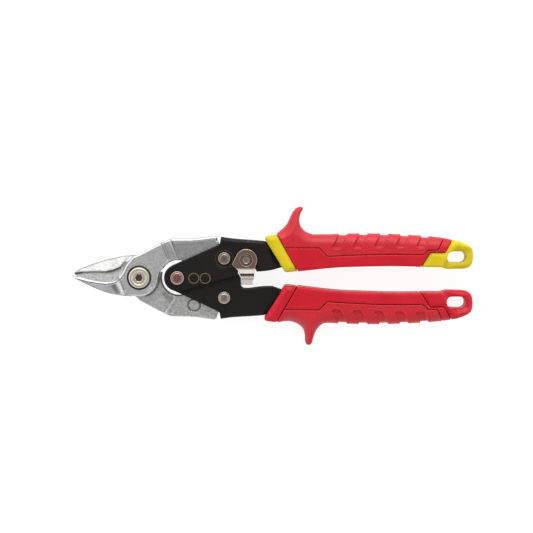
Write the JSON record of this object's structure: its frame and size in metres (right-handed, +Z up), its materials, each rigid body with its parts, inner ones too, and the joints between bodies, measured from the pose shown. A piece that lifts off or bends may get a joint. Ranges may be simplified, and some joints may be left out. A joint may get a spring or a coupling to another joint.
{
  "type": "aviation snips",
  "caption": "Compound-action bulldog snips: two forged blades on a main bolt, linked to folded sheet handles with a thumb latch and moulded grips, for cutting sheet metal.",
  "frame": {"origin": "centre of the main pivot bolt's end face, in the plane that the snips rest on", "axes": "+X from the main pivot to the handle ends, +Y towards the upper handle, +Z up through the bolt head"},
  "size_m": [0.2412, 0.0834, 0.02],
  "materials": {
    "forged_steel": "forged satin with ground edges",
    "nickel_bolt": "satin nickel",
    "dark_rivet": "dark satin",
    "spring_steel": "drawn",
    "black_sheet": "black satin coat",
    "latch_chrome": "bright plated",
    "yellow_core": "semi-gloss moulded",
    "red_shell": "semi-gloss moulded",
    "red_pad": "fine textured matte"
  },
  "bodies": {
    "lower_handle": {"lower_handle_frame": "black_sheet", "lower_grip_core": "red_shell", "lower_grip_shell": "red_shell", "lower_grip_pad": "red_pad", "lower_link_rivet": "dark_rivet", "handle_pivot_rivet": "dark_rivet", "handle_pivot_spacer": "spring_steel", "return_spring": "spring_steel"},
    "upper_handle": {"upper_handle_frame": "black_sheet", "upper_grip_core": "yellow_core", "upper_grip_shell": "red_shell", "upper_grip_pad": "red_pad", "upper_link_rivet": "dark_rivet", "latch_rivet": "dark_rivet"},
    "rear_blade": {"rear_blade": "forged_steel", "pivot_bolt": "nickel_bolt", "pivot_nut": "nickel_bolt", "pivot_washer": "nickel_bolt"},
    "front_blade": {"front_blade": "forged_steel"},
    "latch": {"latch_plate": "latch_chrome", "latch_spring_washer": "spring_steel"}
  },
  "joints": [
    {"name": "handle_pivot", "type": "hinge", "parent": "lower_handle", "child": "upper_handle", "pos_m": [0.0229, 0, 0.01], "axis": [0, 0, 1], "range_deg": [0, 30], "deforming": ["return_spring"]},
    {"name": "rear_blade_link", "type": "hinge", "parent": "lower_handle", "child": "rear_blade", "pos_m": [0.0511, -0.0119, 0.01], "axis": [0, 0, 1], "range_deg": [0, 7.2]},
    {"name": "jaw_pivot", "type": "hinge", "parent": "rear_blade", "child": "front_blade", "pos_m": [0, 0, 0.01], "axis": [0, 0, 1], "range_deg": [0, 15.9]},
    {"name": "latch_swing", "type": "hinge", "parent": "upper_handle", "child": "latch", "pos_m": [0.0643, 0.0111, 0.0185], "axis": [0, 0, 1], "range_deg": [0, 9]}
  ],
  "couplings": [
    {"joint": "rear_blade_link", "follows": "handle_pivot", "ratio": 0.2373},
    {"joint": "jaw_pivot", "follows": "handle_pivot", "ratio": 0.5253}
  ]
}
